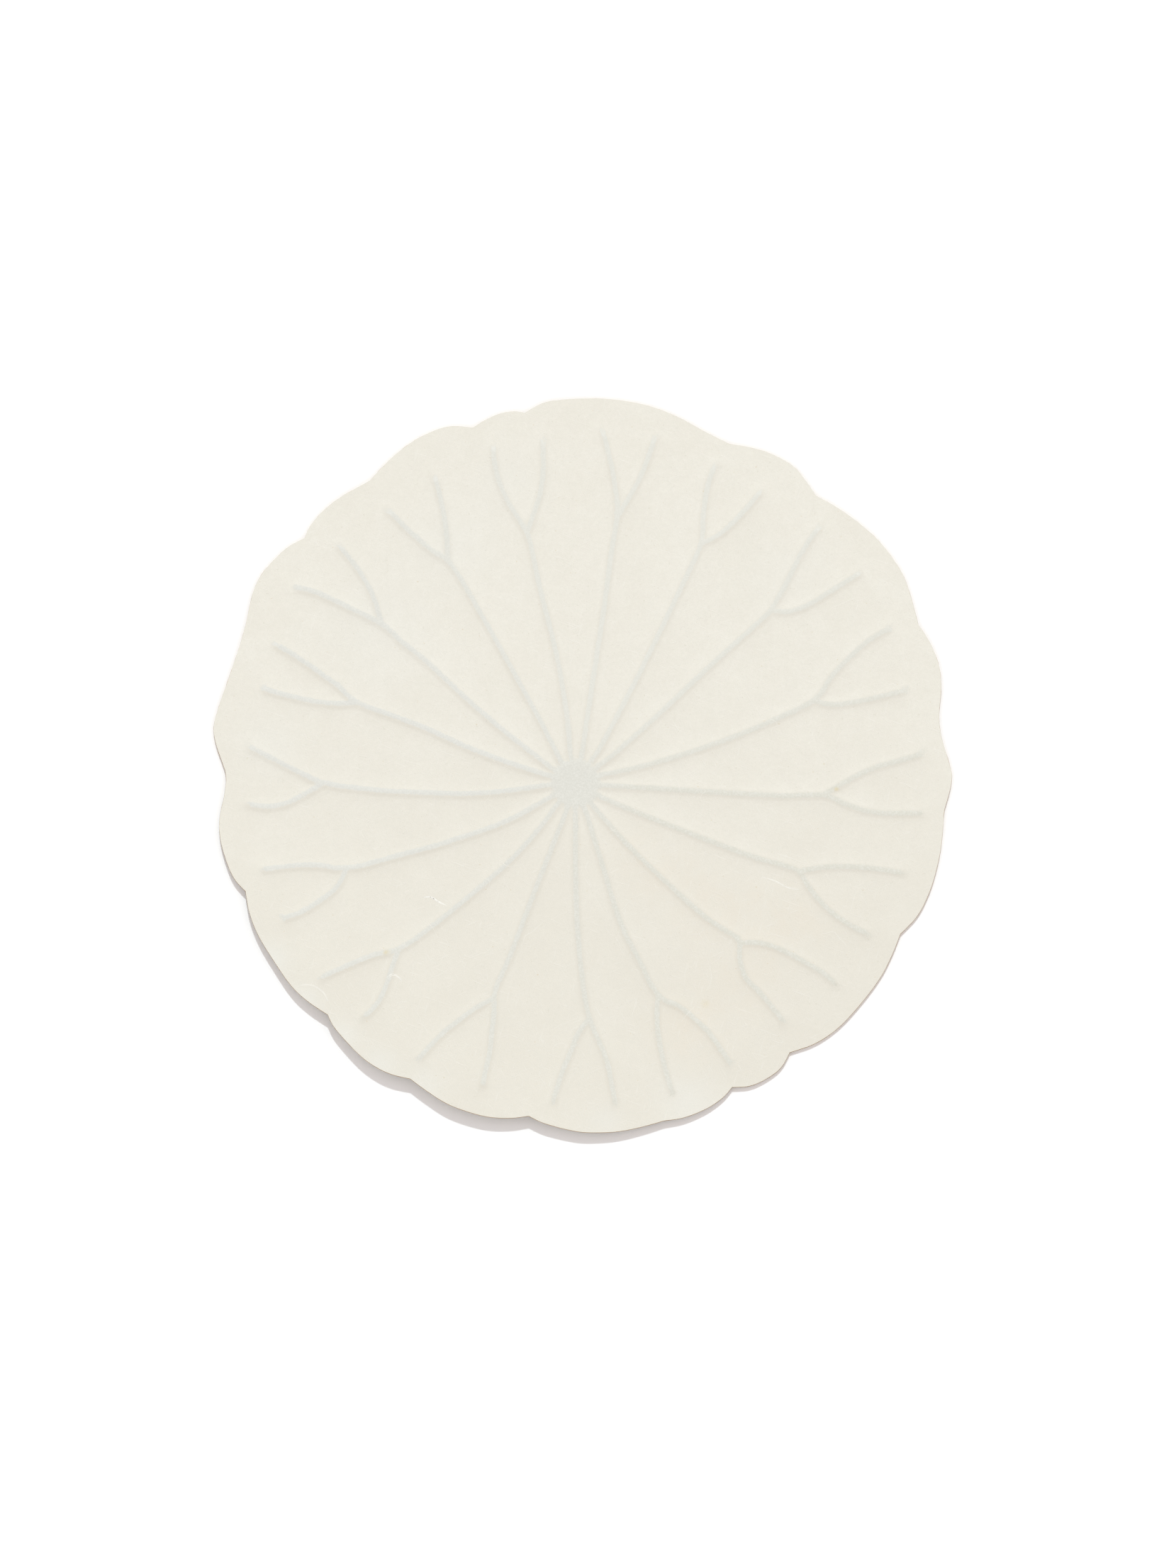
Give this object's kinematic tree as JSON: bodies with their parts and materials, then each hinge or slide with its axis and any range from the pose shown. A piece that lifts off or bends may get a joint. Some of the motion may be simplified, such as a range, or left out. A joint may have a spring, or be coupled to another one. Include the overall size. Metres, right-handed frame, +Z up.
{
  "type": "leaf-shaped place mat",
  "caption": "Flat place mat shaped like a lotus leaf, faced with handmade paper over raised forked veins and a small centre disc.",
  "frame": {"origin": "on the surface that the mat lies on, under the middle of the mat's bounding box", "axes": "+Z up out of the faced side, +Y towards the widest lobe of the leaf, +X to the right of it seen from above"},
  "size_m": [0.3402, 0.3402, 0.0066],
  "materials": {
    "top_washi": "matt handmade paper, long visible fibres, faint cloudy formation",
    "back_washi": "matt handmade paper, plainer and a little duller than the face",
    "core_board": "matt tan strawboard with a fibrous cut edge",
    "vein_cord": "matt pale twisted paper cord",
    "hub_card": "matt pale card with a soft rolled edge"
  },
  "bodies": {
    "root": {"back_washi": "back_washi", "core_board": "core_board", "vein_01_cord": "vein_cord", "vein_01_branch": "vein_cord", "vein_02_cord": "vein_cord", "vein_02_branch": "vein_cord", "vein_03_cord": "vein_cord", "vein_03_branch": "vein_cord", "vein_04_cord": "vein_cord", "vein_04_branch": "vein_cord", "vein_05_cord": "vein_cord", "vein_05_branch": "vein_cord", "vein_06_cord": "vein_cord", "vein_06_branch": "vein_cord", "vein_07_cord": "vein_cord", "vein_07_branch": "vein_cord", "vein_08_cord": "vein_cord", "vein_08_branch": "vein_cord", "vein_09_cord": "vein_cord", "vein_09_branch": "vein_cord", "vein_10_cord": "vein_cord", "vein_10_branch": "vein_cord", "vein_11_cord": "vein_cord", "vein_11_branch": "vein_cord", "vein_12_cord": "vein_cord", "vein_12_branch": "vein_cord", "vein_13_cord": "vein_cord", "vein_13_branch": "vein_cord", "vein_14_cord": "vein_cord", "vein_14_branch": "vein_cord", "vein_15_cord": "vein_cord", "vein_15_branch": "vein_cord", "vein_16_cord": "vein_cord", "vein_16_branch": "vein_cord", "vein_17_cord": "vein_cord", "vein_17_branch": "vein_cord", "hub_disc": "hub_card", "top_washi": "top_washi"}
  },
  "joints": []
}
